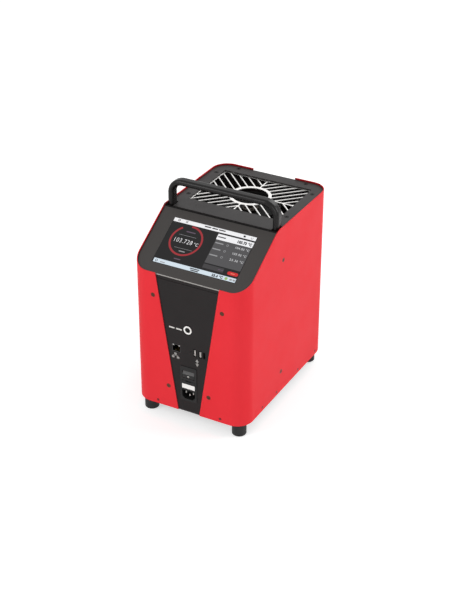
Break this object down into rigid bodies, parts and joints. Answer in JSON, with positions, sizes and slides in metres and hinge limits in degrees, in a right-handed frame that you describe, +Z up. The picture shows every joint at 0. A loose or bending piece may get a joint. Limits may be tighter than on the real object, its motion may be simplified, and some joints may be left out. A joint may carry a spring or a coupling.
{
  "type": "dry block heater",
  "caption": "Portable dry block heater with a red sheet casing, sloped display, carrying handle, heated well under a guard grille, front sockets and a switched mains inlet.",
  "frame": {"origin": "on the bench, under the middle of the casing", "axes": "+Z up; the display and the sockets face -Y; +X is to the right of somebody who stands in front"},
  "size_m": [0.215, 0.308, 0.395],
  "materials": {
    "case_red": "semi-gloss powder coat",
    "panel_black": "satin coat",
    "console_grey": "fine-textured satin coat",
    "top_grey": "fine-textured satin coat",
    "base_grey": "satin coat",
    "grille_steel": "brushed",
    "frame_black": "matte heat-resistant coat",
    "guard_steel": "zinc-plated",
    "handle_black": "satin coat",
    "foot_rubber": "matte",
    "fastener_steel": "plated",
    "fastener_bronze": "dark oxide",
    "fastener_black": "black finish",
    "rivet_red": "painted over with the casing",
    "display_black": "polished, dark behind",
    "module_grey": "matte",
    "board_green": "solder mask",
    "post_brass": "machined",
    "ring_white": "gloss",
    "socket_steel": "plated",
    "port_dark": "blackened",
    "tongue_pale": "matte",
    "socket_black": "matte",
    "rocker_black": "satin",
    "lamp_grey": "clear-tinted, unlit",
    "tag_white": "plain, no print",
    "fuse_ceramic": "matte",
    "block_bronze": "oxidised by heat",
    "heater_steel": "heat-tinted",
    "cutout_brown": "moulded resin",
    "wool_white": "fibre wool",
    "core_iron": "varnished",
    "sink_aluminium": "extruded"
  },
  "bodies": {
    "housing": {"left_case_shell": "case_red", "right_case_shell": "case_red", "base_plate": "base_grey", "front_panel": "panel_black", "rear_panel": "panel_black", "console_panel": "console_grey", "top_plate": "top_grey", "guard_grille": "grille_steel", "left_side_frame": "frame_black", "right_side_frame": "frame_black", "handle": "handle_black", "handle_beam": "handle_black", "handle_screws": "fastener_steel", "foot_front_left": "foot_rubber", "foot_front_right": "foot_rubber", "foot_rear_left": "foot_rubber", "foot_rear_right": "foot_rubber", "foot_screws": "fastener_steel", "case_screws": "fastener_bronze", "top_plate_screws": "fastener_black", "case_rivets": "rivet_red", "display_glass": "display_black", "display_module": "module_grey", "display_board": "board_green", "sensor_ring": "ring_white", "sensor_shell": "socket_steel", "sensor_insert": "socket_black", "network_jack": "socket_black", "jack_contacts": "post_brass", "port_shells": "port_dark", "port_tongues": "tongue_pale", "status_light": "lamp_grey", "interface_board": "board_green", "board_posts": "post_brass", "inlet_housing": "socket_black", "inlet_blades": "socket_steel", "baffle": "frame_black", "block_deck": "frame_black", "block_posts": "fuse_ceramic", "heated_block": "block_bronze", "heater_cartridges": "heater_steel", "reference_sensor": "heater_steel", "thermal_cutout": "cutout_brown", "insulation": "wool_white", "heat_shield": "frame_black", "well_collar": "frame_black", "fan_frame": "socket_black", "fan_guard": "guard_steel", "fan_screws": "fastener_steel", "power_board": "board_green", "line_filter": "socket_steel", "transformer": "core_iron", "heat_sink": "sink_aluminium", "power_relay": "socket_black"},
    "rocker": {"rocker_switch": "rocker_black"},
    "drawer": {"fuse_drawer": "socket_black", "drawer_tag": "tag_white", "fuses": "fuse_ceramic"},
    "sleeve": {"adapter_sleeve": "block_bronze"},
    "rotor": {"fan_rotor": "socket_black"}
  },
  "joints": [
    {"name": "rocker_tilt", "type": "hinge", "parent": "housing", "child": "rocker", "pos_m": [0, -0.1505, 0.1011], "axis": [1, 0, 0], "range_deg": [0, 20]},
    {"name": "drawer_slide", "type": "slide", "parent": "housing", "child": "drawer", "axis": [0, -1, 0], "range_m": [0, 0.024]},
    {"name": "sleeve_lift", "type": "slide", "parent": "housing", "child": "sleeve", "axis": [0, 0, 1], "range_m": [0, 0.2]},
    {"name": "fan_spin", "type": "hinge", "parent": "housing", "child": "rotor", "pos_m": [0, 0.06415, 0.0468], "axis": [0, 0, 1], "continuous": true}
  ]
}
